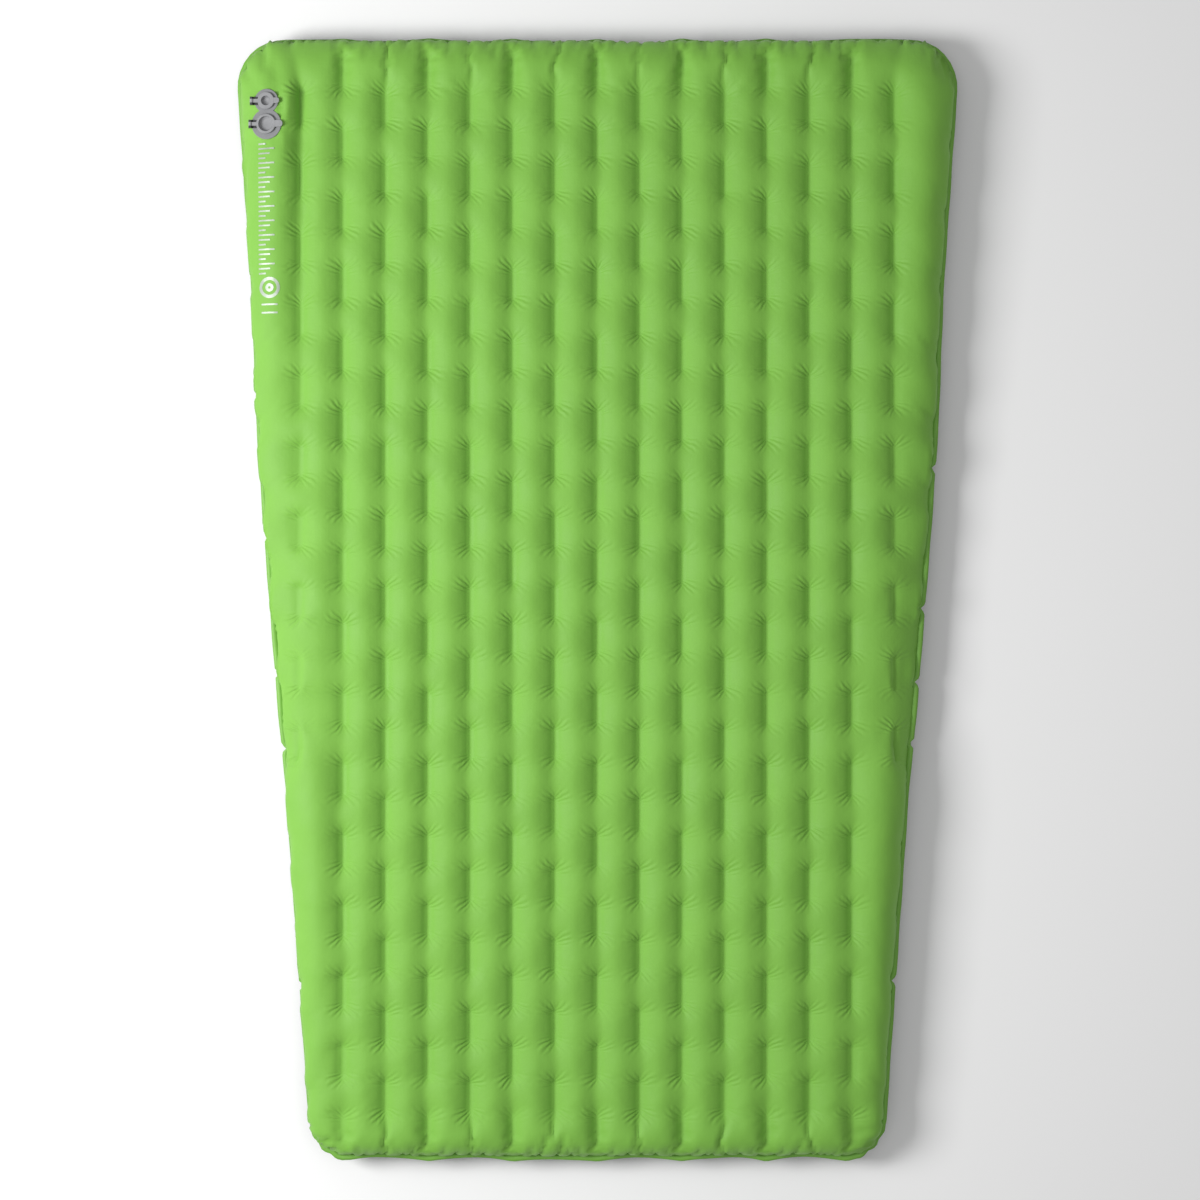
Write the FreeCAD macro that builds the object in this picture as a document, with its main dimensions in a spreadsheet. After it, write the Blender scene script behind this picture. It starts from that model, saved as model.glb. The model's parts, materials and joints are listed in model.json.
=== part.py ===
import FreeCAD, Part
import math
import os

import Sketcher

# Double-width tapered air pad for a tent floor, inflated. Millimetres, +Z up.
# The origin is on the floor under the middle of the pad. +Y points to the head end, and the
# valve is on the -X rail. Two coated sheets are welded along a rim and along dashed lines onto
# upright baffles, so the field is quilted between two fatter side rails.

doc = FreeCAD.newDocument("TentFloorPad")
sheet = doc.addObject("Spreadsheet::Sheet", "Sizes")

driving = {
    # the whole pad
    "padLength": 2060,
    "headWidth": 1334,  # where the side lines would meet the head line
    "footWidth": 1050,
    "headCorner": 90,
    "footCorner": 80,
    "seamWidth": 10,  # welded rim, seen from above
    "sheetWall": 0.8,
    # section
    "midHeight": 53,  # the rim lies at this height over the floor
    "railHalf": 55,  # half the rail's thickness before the floor flattens it
    "railRound": 50,  # rounding of the rail's outer side
    "railFlank": 55,  # from the first baffle out to the rail's crest
    "fieldHalf": 44.5,
    "weldHalf": 26.7,  # half height of the pad over a weld
    "weldWidth": 8,
    # baffles
    "sideRail": 125.9,  # from the outermost baffle to where the side would meet the head line
    "webWall": 0.6,
    "baffleEnd": 30,  # from the end of the pad to a baffle
    "weldPeriod": 128.8,
    "weldLength": 58,
    "firstWeld": 133,  # from the head end to the first weld's middle
    "notchDepth": 10,
    "shortBaffle": -294,  # where the outermost baffles end, along Y
    # layers between the baffles
    "battThick": 1,
    "filmThick": 0.3,
    "layerEnd": 45,
    "layerGap": 1,  # from a baffle's middle plane to a layer's edge
    # valve seat on the rail
    "valveFromHead": 165,
    "valveTilt": 8,
    "seatDepth": 7.9,
    "seatMargin": 3,
    "lobeGap": 8.5,  # between the two caps
    "basePlate": 2,
    "holeGap": 0.5,  # sheet to port
    "insertGap": 0.05,  # base to port
    # inflation lobe
    "bigRecess": 15.5,
    "bigBore": 12.5,
    "bigCapEdge": 0.3,  # cap past the port's collar
    "bigSkirt": 9.5,  # base plate past the cap
    "bigTabReach": 13,
    "bigTabWidth": 12,
    # deflation lobe
    "smallRecess": 10.5,
    "smallBore": 8.5,
    "smallCapEdge": 2.8,
    "smallSkirt": 6.5,
    "smallTabReach": 9.2,
    "smallTabWidth": 10,
    # both ports
    "portWall": 1.4,
    "collarLap": 0.8,
    "rimHeight": 4,
    "recessDepth": 7.5,
    "boreLength": 6,
    "ledge": 1.4,
    # check valve in the inflation port
    "throat": 10.5,
    "throatLength": 7,
    "spiderThick": 2,
    "spiderArm": 2,
    "hubRadius": 3.2,
    "stemRadius": 1.5,
    "stemGap": 0.08,
    "flapLap": 1.7,
    "flapThick": 1.2,
    "flapTravel": 2.5,
    "bulbRadius": 2.8,
    "bulbHeight": 1.5,
    # caps
    "sealThick": 1,
    "sealLap": 0.2,
    "sealGroove": 0.1,
    "capLift": 0.3,  # cap underside over the port rim
    "capThick": 2.5,
    "plugGap": 0.6,
    "cupWall": 1.1,
    "plugDepth": 7,
    "tabThick": 1.6,
    # hinges
    "hingeReach": 11,  # from the cap's edge to the pin
    "hingeHeight": 5.8,
    "knuckle": 3.2,
    "knuckleWidth": 6.5,
    "earWidth": 4,
    "earRound": 3.4,
    "cheekGap": 0.1,
    "pinRadius": 1,
    "pinFit": 0.02,
    "pinRun": 0.08,
    "footThick": 1.2,
    "footGap": 1,
}
for row, (alias, value) in enumerate(driving.items(), start=1):
    sheet.set(f"A{row}", alias)
    sheet.set(f"B{row}", str(value))
    sheet.setAlias(f"B{row}", alias)
doc.recompute()


class Size:
    # a value that keeps the sheet formula it came from, so that a property can be bound to it

    def __init__(self, formula, number):
        self.formula = formula
        self.number = number

    def __add__(self, other):
        other = as_size(other)
        return Size(f"({self.formula} + {other.formula})", self.number + other.number)

    def __sub__(self, other):
        other = as_size(other)
        return Size(f"({self.formula} - {other.formula})", self.number - other.number)

    def __mul__(self, other):
        other = as_size(other)
        return Size(f"({self.formula} * {other.formula})", self.number * other.number)

    def __truediv__(self, other):
        other = as_size(other)
        return Size(f"({self.formula} / {other.formula})", self.number / other.number)

    def __neg__(self):
        return Size(f"(0 - {self.formula})", -self.number)


def as_size(value):
    if isinstance(value, Size):
        return value
    return Size(repr(float(value)), float(value))


def cell(alias):
    return Size(f"Sizes.{alias}", float(sheet.get(alias)))


def root(value):
    return Size(f"sqrt({value.formula})", math.sqrt(value.number))


def sine(angle):
    return Size(f"sin({angle.formula})", math.sin(math.radians(angle.number)))


def cosine(angle):
    return Size(f"cos({angle.formula})", math.cos(math.radians(angle.number)))


def bind(thing, path, value):
    thing.setExpression(path, as_size(value).formula)


# Helpers for bodies, sketches and features


def new_body(label):
    body = doc.addObject("PartDesign::Body", label)
    body.Label = label
    return body


def origin_plane(body, role):
    return [item for item in body.Origin.OriginFeatures if item.Role == role][0]


def new_sketch(body, name, role, offset):
    sketch = body.newObject("Sketcher::SketchObject", name)
    sketch.AttachmentSupport = (origin_plane(body, role), [""])
    sketch.MapMode = "FlatFace"
    if offset is not None:
        bind(sketch, "AttachmentOffset.Base.z", offset)
    return sketch


def crown_arc(start, end, radius):
    # the arc that climbs over the chord from the left point to the right one
    across = end[0].number - start[0].number
    rise = end[1].number - start[1].number
    chord = math.hypot(across, rise)
    drop = math.sqrt(max(radius.number**2 - chord**2 / 4, 0))
    middle = FreeCAD.Vector(
        (start[0].number + end[0].number) / 2 + drop * rise / chord,
        (start[1].number + end[1].number) / 2 - drop * across / chord,
        0,
    )
    circle = Part.Circle(middle, FreeCAD.Vector(0, 0, 1), radius.number)
    left = math.atan2(start[1].number - middle.y, start[0].number - middle.x)
    right = math.atan2(end[1].number - middle.y, end[0].number - middle.x)
    return Part.ArcOfCircle(circle, right, left)


def outline(body, name, role, corners, arcs=None, offset=None):
    # A closed outline through the corners, each held by its two coordinates.
    # arcs maps the number of a corner to the radius of the crown that leaves it.
    arcs = arcs or {}
    corners = [(as_size(across), as_size(up)) for across, up in corners]
    sketch = new_sketch(body, name, role, offset)
    first, last = [], []
    for number, start in enumerate(corners):
        end = corners[(number + 1) % len(corners)]
        if number in arcs:
            edge = crown_arc(start, end, arcs[number])
            first.append(2)
            last.append(1)
        else:
            edge = Part.LineSegment(
                FreeCAD.Vector(start[0].number, start[1].number, 0),
                FreeCAD.Vector(end[0].number, end[1].number, 0),
            )
            first.append(1)
            last.append(2)
        sketch.addGeometry(edge, False)
    rules, bound = [], []
    for number, start in enumerate(corners):
        before = (number - 1) % len(corners)
        rules.append(Sketcher.Constraint("Coincident", before, last[before], number, first[number]))
        bound.append(None)
        for axis, kind, value in ((-2, "DistanceX", start[0]), (-1, "DistanceY", start[1])):
            if value.number == 0:
                rules.append(Sketcher.Constraint("PointOnObject", number, first[number], axis))
                bound.append(None)
            else:
                rules.append(Sketcher.Constraint(kind, -1, 1, number, first[number], value.number))
                bound.append(value)
        if number in arcs:
            rules.append(Sketcher.Constraint("Radius", number, arcs[number].number))
            bound.append(arcs[number])
    sketch.addConstraint(rules)
    for number, value in enumerate(bound):
        if value is not None:
            bind(sketch, f"Constraints[{number}]", value)
    return sketch


def circles(body, name, role, radii, offset=None):
    # circles about the body's own axis
    sketch = new_sketch(body, name, role, offset)
    for number, radius in enumerate(radii):
        radius = as_size(radius)
        circle = Part.Circle(FreeCAD.Vector(0, 0, 0), FreeCAD.Vector(0, 0, 1), radius.number)
        sketch.addGeometry(circle, False)
        sketch.addConstraint(Sketcher.Constraint("Coincident", number, 3, -1, 1))
        rule = sketch.addConstraint(Sketcher.Constraint("Radius", number, radius.number))
        bind(sketch, f"Constraints[{rule}]", radius)
    return sketch


def circle_at(body, name, role, radius, across, up):
    across, up = as_size(across), as_size(up)
    sketch = new_sketch(body, name, role, None)
    middle = FreeCAD.Vector(across.number, up.number, 0)
    sketch.addGeometry(Part.Circle(middle, FreeCAD.Vector(0, 0, 1), radius.number), False)
    rules = [("Radius", (0,), radius), ("DistanceY", (-1, 1, 0, 3), up)]
    if across.number:
        rules.append(("DistanceX", (-1, 1, 0, 3), across))
    else:
        sketch.addConstraint(Sketcher.Constraint("PointOnObject", 0, 3, -2))
    for kind, where, value in rules:
        rule = sketch.addConstraint(Sketcher.Constraint(kind, *where, value.number))
        bind(sketch, f"Constraints[{rule}]", value)
    return sketch


def pad(body, name, sketch, length, both_ways=False, reverse=False):
    feature = body.newObject("PartDesign::Pad", name)
    feature.Profile = sketch
    feature.Midplane = both_ways
    feature.Reversed = reverse
    bind(feature, "Length", length)
    doc.recompute()
    return feature


def pocket(body, name, sketch, length, both_ways=False, reverse=False):
    before = body.Shape.Volume
    feature = body.newObject("PartDesign::Pocket", name)
    feature.Profile = sketch
    feature.Midplane = both_ways
    feature.Reversed = reverse
    bind(feature, "Length", length)
    doc.recompute()
    if not feature.Shape.Volume < before:
        raise ValueError(f"{body.Label}: {name} cuts nothing")
    return feature


def revolve(body, name, sketch):
    feature = body.newObject("PartDesign::Revolution", name)
    feature.Profile = sketch
    feature.ReferenceAxis = (sketch, ["V_Axis"])
    feature.Angle = 360
    doc.recompute()
    return feature


def pattern(body, name, feature, direction, length, count):
    copies = body.newObject("PartDesign::LinearPattern", name)
    copies.Originals = [feature]
    copies.Direction = direction
    bind(copies, "Length", length)
    copies.Occurrences = count
    body.Tip = copies
    doc.recompute()
    return copies


def round_edges(body, name, chosen, radius):
    # chosen says of an edge whether it is rounded
    base = body.Tip
    names = [f"Edge{n}" for n, edge in enumerate(base.Shape.Edges, start=1) if chosen(edge)]
    feature = body.newObject("PartDesign::Fillet", name)
    feature.Base = (base, names)
    bind(feature, "Radius", radius)
    doc.recompute()
    return feature


def upright(edge):
    box = edge.BoundBox
    return box.XLength < 0.01 and box.YLength < 0.01


def level_at(height):
    def chosen(edge):
        box = edge.BoundBox
        return abs(box.ZMin - height) < 0.01 and abs(box.ZMax - height) < 0.01

    return chosen


def box(name, sizes, place):
    block = doc.addObject("Part::Box", name)
    for side, value in zip(("Length", "Width", "Height"), sizes):
        bind(block, side, value)
    for axis, value in zip("xyz", place):
        bind(block, f"Placement.Base.{axis}", value)
    return block


def cut(name, base, tool):
    feature = doc.addObject("Part::Cut", name)
    feature.Base = base
    feature.Tool = tool
    doc.recompute()
    return feature


def fuse(name, pieces):
    feature = doc.addObject("Part::MultiFuse", name)
    feature.Shapes = pieces
    doc.recompute()
    return feature


# Places worked out from the driving sizes

half_length = cell("padLength") / 2
taper = (cell("headWidth") - cell("footWidth")) / 2 / cell("padLength")
wall = cell("sheetWall")
mid = cell("midHeight")
line_count = 15
middle_line = line_count // 2
pitch = (cell("headWidth") / 2 - cell("sideRail")) / middle_line

valve_y = half_length - cell("valveFromHead")
rail_edge = cell("footWidth") / 2 + taper * (valve_y + half_length) - cell("seamWidth")
seat_reach = cell("railRound") - cell("seatDepth")
valve_x = -(rail_edge - cell("railRound")) - seat_reach * sine(cell("valveTilt"))
valve_z = mid + cell("railHalf") - cell("railRound") + seat_reach * cosine(cell("valveTilt"))


def cap_radius(lobe):
    return cell(f"{lobe}Recess") + cell("portWall") + cell("collarLap") + cell(f"{lobe}CapEdge")


big_base = cap_radius("big") + cell("bigSkirt")
small_base = cap_radius("small") + cell("smallSkirt")
lobe_spacing = cap_radius("big") + cell("lobeGap") + cap_radius("small")


def line_x(number):
    return pitch * (number - middle_line)


def on_valve(piece, along=0, across=0, over=0):
    # places a piece whose own origin is on the seat, at the inflation lobe's middle
    across = as_size(across)
    over = as_size(over)
    lean = cell("valveTilt")
    axis = FreeCAD.Vector(0, 1, 0)
    piece.Placement = FreeCAD.Placement(
        FreeCAD.Vector(0, 0, 0), FreeCAD.Rotation(axis, -lean.number)
    )
    bind(piece, "Placement.Rotation.Angle", -lean)
    bind(piece, "Placement.Base.x", valve_x + across * cosine(lean) - over * sine(lean))
    bind(piece, "Placement.Base.y", valve_y + along)
    bind(piece, "Placement.Base.z", valve_z + across * sine(lean) + over * cosine(lean))


# Sheets


def tapered_plate(label, inset, height):
    # the pad's plan, drawn in by the inset, with round corners
    side = inset * root(taper * taper + 1)
    head = cell("headWidth") / 2 - taper * inset - side
    foot = cell("footWidth") / 2 + taper * inset - side
    end = half_length - inset
    body = new_body(label)
    plan = outline(
        body, f"{label}Plan", "XY_Plane", [(-foot, -end), (foot, -end), (head, end), (-head, end)]
    )
    pad(body, f"{label}Plate", plan, height)
    round_edges(
        body,
        f"{label}HeadCorners",
        lambda edge: upright(edge) and edge.CenterOfMass.y > 0,
        cell("headCorner") - inset,
    )
    round_edges(
        body,
        f"{label}FootCorners",
        lambda edge: upright(edge) and edge.CenterOfMass.y < 0,
        cell("footCorner") - inset,
    )
    return body


def quilt_pocket(body, name, first, last, drop, reverse):
    # everything over the quilted section between two baffle lines and the rails beside them
    weld = cell("weldHalf") - drop
    crest = cell("railHalf") - drop
    half_weld = cell("weldWidth") / 2
    over = crest + 5
    run = cell("railFlank") - half_weld
    climb = crest - weld
    flank = (run * run + climb * climb) / (climb * 2)
    half_span = pitch / 2 - half_weld
    rise = cell("fieldHalf") - cell("weldHalf")
    crown = (half_span * half_span + rise * rise) / (rise * 2)
    corners = [(line_x(first) - cell("railFlank"), crest)]
    arcs = {0: flank}
    for number in range(first, last + 1):
        corners.append((line_x(number) - half_weld, weld))
        corners.append((line_x(number) + half_weld, weld))
        arcs[len(corners) - 1] = crown
    arcs[len(corners) - 1] = flank
    corners.append((line_x(last) + cell("railFlank"), crest))
    corners.append((line_x(last) + cell("railFlank"), over))
    corners.append((line_x(first) - cell("railFlank"), over))
    section = outline(
        body, f"{name}Section", "XZ_Plane", corners, arcs, offset=-cell("shortBaffle")
    )
    pocket(body, name, section, cell("padLength"), reverse=reverse)


def half_pad(label, inset, drop):
    # the upper half of the inflated pad, over the middle plane
    height = cell("railHalf") - drop
    body = tapered_plate(label, inset, height)
    round_edges(body, f"{label}Shoulder", level_at(height.number), cell("railRound") - drop)
    quilt_pocket(body, f"{label}HeadQuilt", 0, line_count - 1, drop, False)
    quilt_pocket(body, f"{label}FootQuilt", 1, line_count - 2, drop, True)
    bind(body, "Placement.Base.z", mid)
    return body


def seat_block(name, drop):
    # the space over the flat seat that the valve's base is welded to
    margin = cell("seatMargin") + drop
    length = big_base + lobe_spacing + small_base + margin * 2
    block = box(name, (big_base * 4, length, big_base), (0, 0, 0))
    on_valve(block, -(big_base + margin), -big_base * 2, -drop)
    return block


def port_hole(name, recess, along):
    hole = doc.addObject("Part::Cylinder", name)
    bind(hole, "Radius", recess + cell("portWall") + cell("holeGap"))
    bind(hole, "Height", wall * 4)
    on_valve(hole, along, 0, -wall * 2)
    return hole


def flipped(name, source):
    mirror = doc.addObject("Part::Mirroring", name)
    mirror.Source = source
    mirror.Normal = (0, 0, 1)
    bind(mirror, "Base.z", mid)
    doc.recompute()
    return mirror


def over_height(name, source, height):
    # keeps what is higher than the height
    under = box(
        f"{name}Under",
        (cell("headWidth"), cell("padLength"), mid),
        (-cell("headWidth") / 2, -half_length, height - mid),
    )
    return cut(name, source, under)


def make_shells():
    outer = half_pad("OuterHalf", cell("seamWidth"), as_size(0))
    inner = half_pad("InnerHalf", cell("seamWidth") + wall, wall)

    top_rim = tapered_plate("TopRim", as_size(0), wall)
    bind(top_rim, "Placement.Base.z", mid)
    seated = cut("TopSeated", outer, seat_block("SeatOutside", as_size(0)))
    hollow = cut("TopHollow", inner, seat_block("SeatInside", wall))
    blank = cut("TopBlank", fuse("TopWithRim", [seated, top_rim]), hollow)
    holes = fuse(
        "PortHoles",
        [
            port_hole("BigHole", cell("bigRecess"), as_size(0)),
            port_hole("SmallHole", cell("smallRecess"), lobe_spacing),
        ],
    )
    top = cut("top_shell", blank, holes)

    bottom_rim = tapered_plate("BottomRim", as_size(0), wall)
    bind(bottom_rim, "Placement.Base.z", mid - wall)
    flat = over_height("BottomFlat", flipped("OuterFlipped", outer), as_size(0))
    flat_inside = over_height("BottomFlatInside", flipped("InnerFlipped", inner), wall)
    bottom = cut("bottom_shell", fuse("BottomWithRim", [flat, bottom_rim]), flat_inside)
    return [top, bottom]


# Baffles and layers


def make_baffle(number):
    # an upright strip with welded tabs, and notches where the sheets are not welded to it
    label = f"baffle_{number + 1:02d}"
    body = new_body(label)
    outermost = number in (0, line_count - 1)
    start = cell("shortBaffle") if outermost else -(half_length - cell("baffleEnd"))
    length = half_length - cell("baffleEnd") - start
    high = cell("weldHalf") - wall
    tab = cell("webWall")
    web = cell("webWall") / 2
    reach = cell("weldWidth") / 2
    section = outline(
        body,
        f"{label}Section",
        "XZ_Plane",
        [
            (-reach, -high), (reach, -high), (reach, tab - high), (web, tab - high),
            (web, high - tab), (reach, high - tab), (reach, high), (-reach, high),
            (-reach, high - tab), (-web, high - tab), (-web, tab - high), (-reach, tab - high),
        ],
        offset=-start,
    )
    pad(body, f"{label}Strip", section, length, reverse=True)

    shift = cell("weldPeriod") / 2 * (-1 if number % 2 == 0 else 0)
    notch_y = half_length - cell("firstWeld") - shift
    half_notch = (cell("weldPeriod") - cell("weldLength")) / 2
    count = int((notch_y - start).number // cell("weldPeriod").number) + 1
    far = notch_y - cell("weldPeriod") * (count - 1)
    for side, name in ((1, "Upper"), (-1, "Lower")):
        floor = (high - cell("notchDepth")) * side
        over = (high + 1) * side
        notch = outline(
            body,
            f"{label}{name}Notch",
            "YZ_Plane",
            [
                (far - half_notch, floor), (far + half_notch, floor),
                (far + half_notch, over), (far - half_notch, over),
            ],
        )
        first = pocket(body, f"{label}{name}Cut", notch, cell("weldWidth") * 2, both_ways=True)
        axis = origin_plane(body, "Y_Axis")
        run = cell("weldPeriod") * (count - 1)
        pattern(body, f"{label}{name}Cuts", first, (axis, [""]), run, count)
    bind(body, "Placement.Base.x", line_x(number))
    bind(body, "Placement.Base.z", mid)
    return body


def make_layer(label, top, thick):
    # one strip in each channel between two baffles, as separate solids
    strips = []
    for number in range(line_count - 1):
        outermost = number in (0, line_count - 2)
        start = cell("shortBaffle") if outermost else -(half_length - cell("layerEnd"))
        strips.append(
            box(
                f"{label}Strip{number + 1}",
                (pitch - cell("layerGap") * 2, half_length - cell("layerEnd") - start, thick),
                (line_x(number) + cell("layerGap"), start, top - thick),
            )
        )
    layer = doc.addObject("Part::Compound", label)
    layer.Links = strips
    doc.recompute()
    return layer


# Valve


def make_base():
    body = new_body("valve_base")
    big = circles(body, "BigLobe", "XY_Plane", [big_base])
    pad(body, "BigPlate", big, cell("basePlate"))
    small = circle_at(body, "SmallLobe", "XY_Plane", small_base, 0, lobe_spacing)
    pad(body, "SmallPlate", small, cell("basePlate"))
    top_edge = level_at(cell("basePlate").number)
    round_edges(body, "SoftEdge", top_edge, cell("basePlate") * 0.4)
    fit = cell("portWall") + cell("insertGap")
    hole = circles(body, "BigHoleRing", "XY_Plane", [cell("bigRecess") + fit])
    pocket(body, "BigPortHole", hole, cell("basePlate") * 2, both_ways=True)
    small_hole = cell("smallRecess") + fit
    hole = circle_at(body, "SmallHoleRing", "XY_Plane", small_hole, 0, lobe_spacing)
    pocket(body, "SmallPortHole", hole, cell("basePlate") * 2, both_ways=True)
    on_valve(body)
    return body


def port_ring(label, recess, bore, tail):
    # collar on the base, a recess for the cap's cup, then the bore that takes a pump's nozzle
    rim = cell("rimHeight")
    outer = recess + cell("portWall")
    ledge = rim - cell("recessDepth")
    end = ledge - cell("boreLength")
    body = new_body(label)
    section = outline(
        body,
        f"{label}Section",
        "XZ_Plane",
        [
            (recess, rim), (outer + cell("collarLap"), rim),
            (outer + cell("collarLap"), cell("basePlate")), (outer, cell("basePlate")),
            (outer, ledge - cell("ledge")), (bore + cell("portWall"), ledge - cell("ledge")),
            (bore + cell("portWall"), end - tail), *(
                [(cell("throat"), end - tail), (cell("throat"), end)] if tail.number else []
            ),
            (bore, end), (bore, ledge), (recess, ledge),
        ],
    )
    revolve(body, f"{label}Ring", section)
    return body


def make_inflation_port():
    tail = cell("throatLength")
    body = port_ring("inflation_port", cell("bigRecess"), cell("bigBore"), tail)
    floor = cell("rimHeight") - cell("recessDepth") - cell("boreLength") - tail
    half_arm = cell("spiderArm") / 2
    arm = outline(
        body,
        "SpiderArm",
        "XY_Plane",
        [(1, -half_arm), (cell("throat") + 0.5, -half_arm), (cell("throat") + 0.5, half_arm),
         (1, half_arm)],
        offset=floor,
    )
    hub = circles(body, "SpiderHub", "XY_Plane", [cell("hubRadius")], offset=floor)
    first = pad(body, "ArmPad", arm, cell("spiderThick"))
    arms = body.newObject("PartDesign::PolarPattern", "Arms")
    arms.Originals = [first]
    arms.Axis = (arm, ["N_Axis"])
    arms.Angle = 360
    arms.Occurrences = 3
    body.Tip = arms
    doc.recompute()
    pad(body, "HubPad", hub, cell("spiderThick"))
    guide = circles(
        body, "StemGuide", "XY_Plane", [cell("stemRadius") + cell("stemGap")], offset=floor
    )
    pocket(body, "StemHole", guide, cell("spiderThick") * 2, both_ways=True)
    on_valve(body)
    return body


def make_check_flap():
    # a soft disc under the spider, held by its stem and the bulb over the hub
    seat = cell("rimHeight") - cell("recessDepth") - cell("boreLength") - cell("throatLength")
    stop = seat + cell("spiderThick") + cell("flapTravel") + cell("sealGroove")
    disc = cell("throat") + cell("flapLap")
    body = new_body("check_flap")
    section = outline(
        body,
        "FlapSection",
        "XZ_Plane",
        [
            (0, seat - cell("flapThick")), (disc, seat - cell("flapThick")), (disc, seat),
            (cell("stemRadius"), seat), (cell("stemRadius"), stop), (cell("bulbRadius"), stop),
            (cell("bulbRadius") * 0.7, stop + cell("bulbHeight")), (0, stop + cell("bulbHeight")),
        ],
    )
    revolve(body, "FlapDisc", section)
    on_valve(body)
    return body


def make_cap(label, size, recess, tab, tab_width, hinge, along):
    # a dished cap with a cup that hangs in the port, a finger tab and a hinge arm
    under = cell("rimHeight") + cell("capLift")
    top = under + cell("capThick")
    plug = recess - cell("plugGap")
    dish = plug - cell("cupWall")
    bottom = cell("rimHeight") - cell("plugDepth")
    seal_in = recess + cell("sealLap") - cell("sealGroove")
    seal_out = recess + cell("portWall") + cell("collarLap") - cell("sealLap")
    seal_out = seal_out + cell("sealGroove")
    seal_top = cell("rimHeight") + cell("sealThick")
    body = new_body(label)
    section = outline(
        body,
        f"{label}Section",
        "XZ_Plane",
        [
            (0, bottom), (plug - 1.8, bottom), (plug - 0.4, bottom + 2), (plug, under),
            (seal_in, under), (seal_in, seal_top), (seal_out, seal_top), (seal_out, under),
            (size, under), (size, top - 0.8), (size - 0.8, top), (dish, top),
            (dish - 0.6, bottom + 4), (dish * 0.72, bottom + 1.8), (0, bottom + 1.4),
        ],
    )
    revolve(body, f"{label}Cup", section)

    half = tab_width / 2
    start = (dish + size) / 2
    plan = outline(
        body,
        f"{label}TabPlan",
        "XY_Plane",
        [(start, -half), (tab, -half), (tab, half), (start, half)],
        offset=seal_top,
    )
    pad(body, f"{label}Tab", plan, cell("tabThick"))
    round_edges(
        body,
        f"{label}TabEnd",
        lambda edge: upright(edge) and abs(edge.CenterOfMass.x - tab.number) < 0.01,
        half - 0.5,
    )

    arm = outline(
        body,
        f"{label}ArmSection",
        "XZ_Plane",
        [(-hinge, seal_top), (-start, seal_top), (-start, top - 0.4), (-hinge, top - 0.4)],
    )
    pad(body, f"{label}Arm", arm, cell("knuckleWidth"), both_ways=True)
    barrel = circle_at(
        body, f"{label}Barrel", "XZ_Plane", cell("knuckle"), -hinge, cell("hingeHeight")
    )
    pad(body, f"{label}Knuckle", barrel, cell("knuckleWidth"), both_ways=True)
    eye = circle_at(
        body, f"{label}Eye", "XZ_Plane", cell("pinRadius") + cell("pinRun"), -hinge,
        cell("hingeHeight"),
    )
    pocket(body, f"{label}EyeHole", eye, cell("knuckleWidth") * 2, both_ways=True)
    on_valve(body, along)
    return body


def make_seal(label, recess, along):
    body = new_body(label)
    outer = recess + cell("portWall") + cell("collarLap") - cell("sealLap")
    ring = circles(
        body, f"{label}Ring", "XY_Plane", [outer, recess + cell("sealLap")],
        offset=cell("rimHeight"),
    )
    pad(body, f"{label}Pad", ring, cell("sealThick"))
    on_valve(body, along)
    return body


def make_bracket(label, recess, hinge, along):
    # a foot on the base, and two ears that hold the pin beside the cap's knuckle
    body = new_body(label)
    ear = cell("earRound")
    slot = cell("knuckleWidth") + cell("cheekGap") * 2
    foot = recess + cell("portWall") + cell("collarLap") + cell("footGap")
    plate = cell("basePlate")
    section = outline(
        body,
        f"{label}Section",
        "XZ_Plane",
        [
            (-hinge - ear, plate), (-hinge - ear, cell("hingeHeight")),
            (-hinge - ear * 0.5, cell("hingeHeight") + ear * 0.85),
            (-hinge + ear * 0.5, cell("hingeHeight") + ear * 0.85),
            (-hinge + ear, cell("hingeHeight")), (-hinge + ear, plate + cell("footThick")),
            (-foot, plate + cell("footThick")), (-foot, plate),
        ],
    )
    pad(body, f"{label}Block", section, slot + cell("earWidth") * 2, both_ways=True)
    gap = outline(
        body,
        f"{label}GapSection",
        "XZ_Plane",
        [
            (-hinge - ear * 2, plate - 1), (-hinge + ear + 0.3, plate - 1),
            (-hinge + ear + 0.3, cell("hingeHeight") * 2), (-hinge - ear * 2, cell("hingeHeight") * 2),
        ],
    )
    pocket(body, f"{label}Gap", gap, slot, both_ways=True)
    eye = circle_at(
        body, f"{label}Eye", "XZ_Plane", cell("pinRadius") + cell("pinFit"), -hinge,
        cell("hingeHeight"),
    )
    pocket(body, f"{label}EyeHole", eye, slot * 3, both_ways=True)
    on_valve(body, along)
    return body


def make_pin(label, hinge, along):
    body = new_body(label)
    length = cell("knuckleWidth") + cell("cheekGap") * 2 + cell("earWidth") * 2
    round_bar = circle_at(
        body, f"{label}Round", "XZ_Plane", cell("pinRadius"), -hinge, cell("hingeHeight")
    )
    pad(body, f"{label}Bar", round_bar, length, both_ways=True)
    on_valve(body, along)
    return body


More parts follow.
